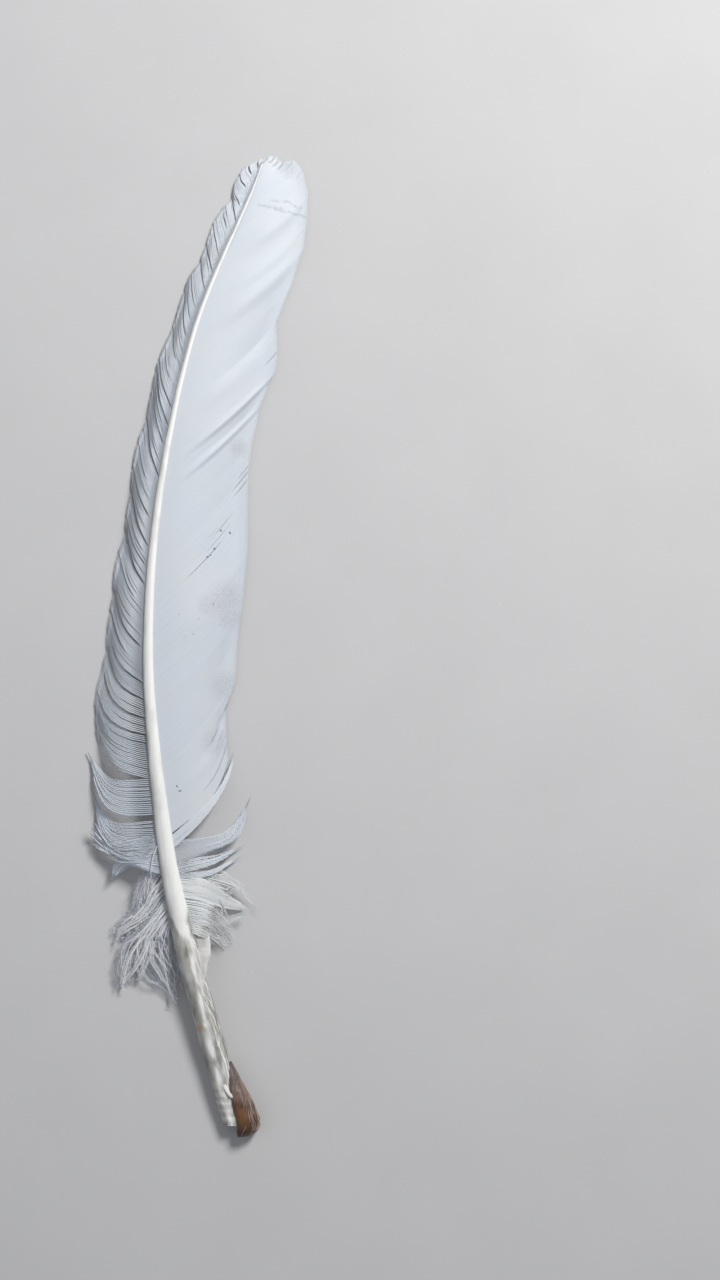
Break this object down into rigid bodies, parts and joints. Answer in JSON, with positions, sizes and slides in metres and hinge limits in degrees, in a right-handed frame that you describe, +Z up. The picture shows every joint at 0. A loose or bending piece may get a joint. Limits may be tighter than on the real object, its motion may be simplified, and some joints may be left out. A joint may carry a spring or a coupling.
{
  "type": "eagle feather",
  "caption": "Pale wing feather of an eagle lying flat, with a curved shaft, split outer vane, down at the foot and a scrap of dried skin on the quill.",
  "frame": {"origin": "on the table, below the middle of the box around the feather", "axes": "+Y from the quill towards the feather's tip, +X across the feather towards its wide vane, +Z up from the table"},
  "size_m": [0.0677, 0.2997, 0.0117],
  "materials": {
    "feather": "soft satin barbs, glossy ivory shaft",
    "dried_skin": "dry, slightly glossy"
  },
  "bodies": {
    "root": {"feather": "feather", "dried_skin": "dried_skin"}
  },
  "joints": []
}
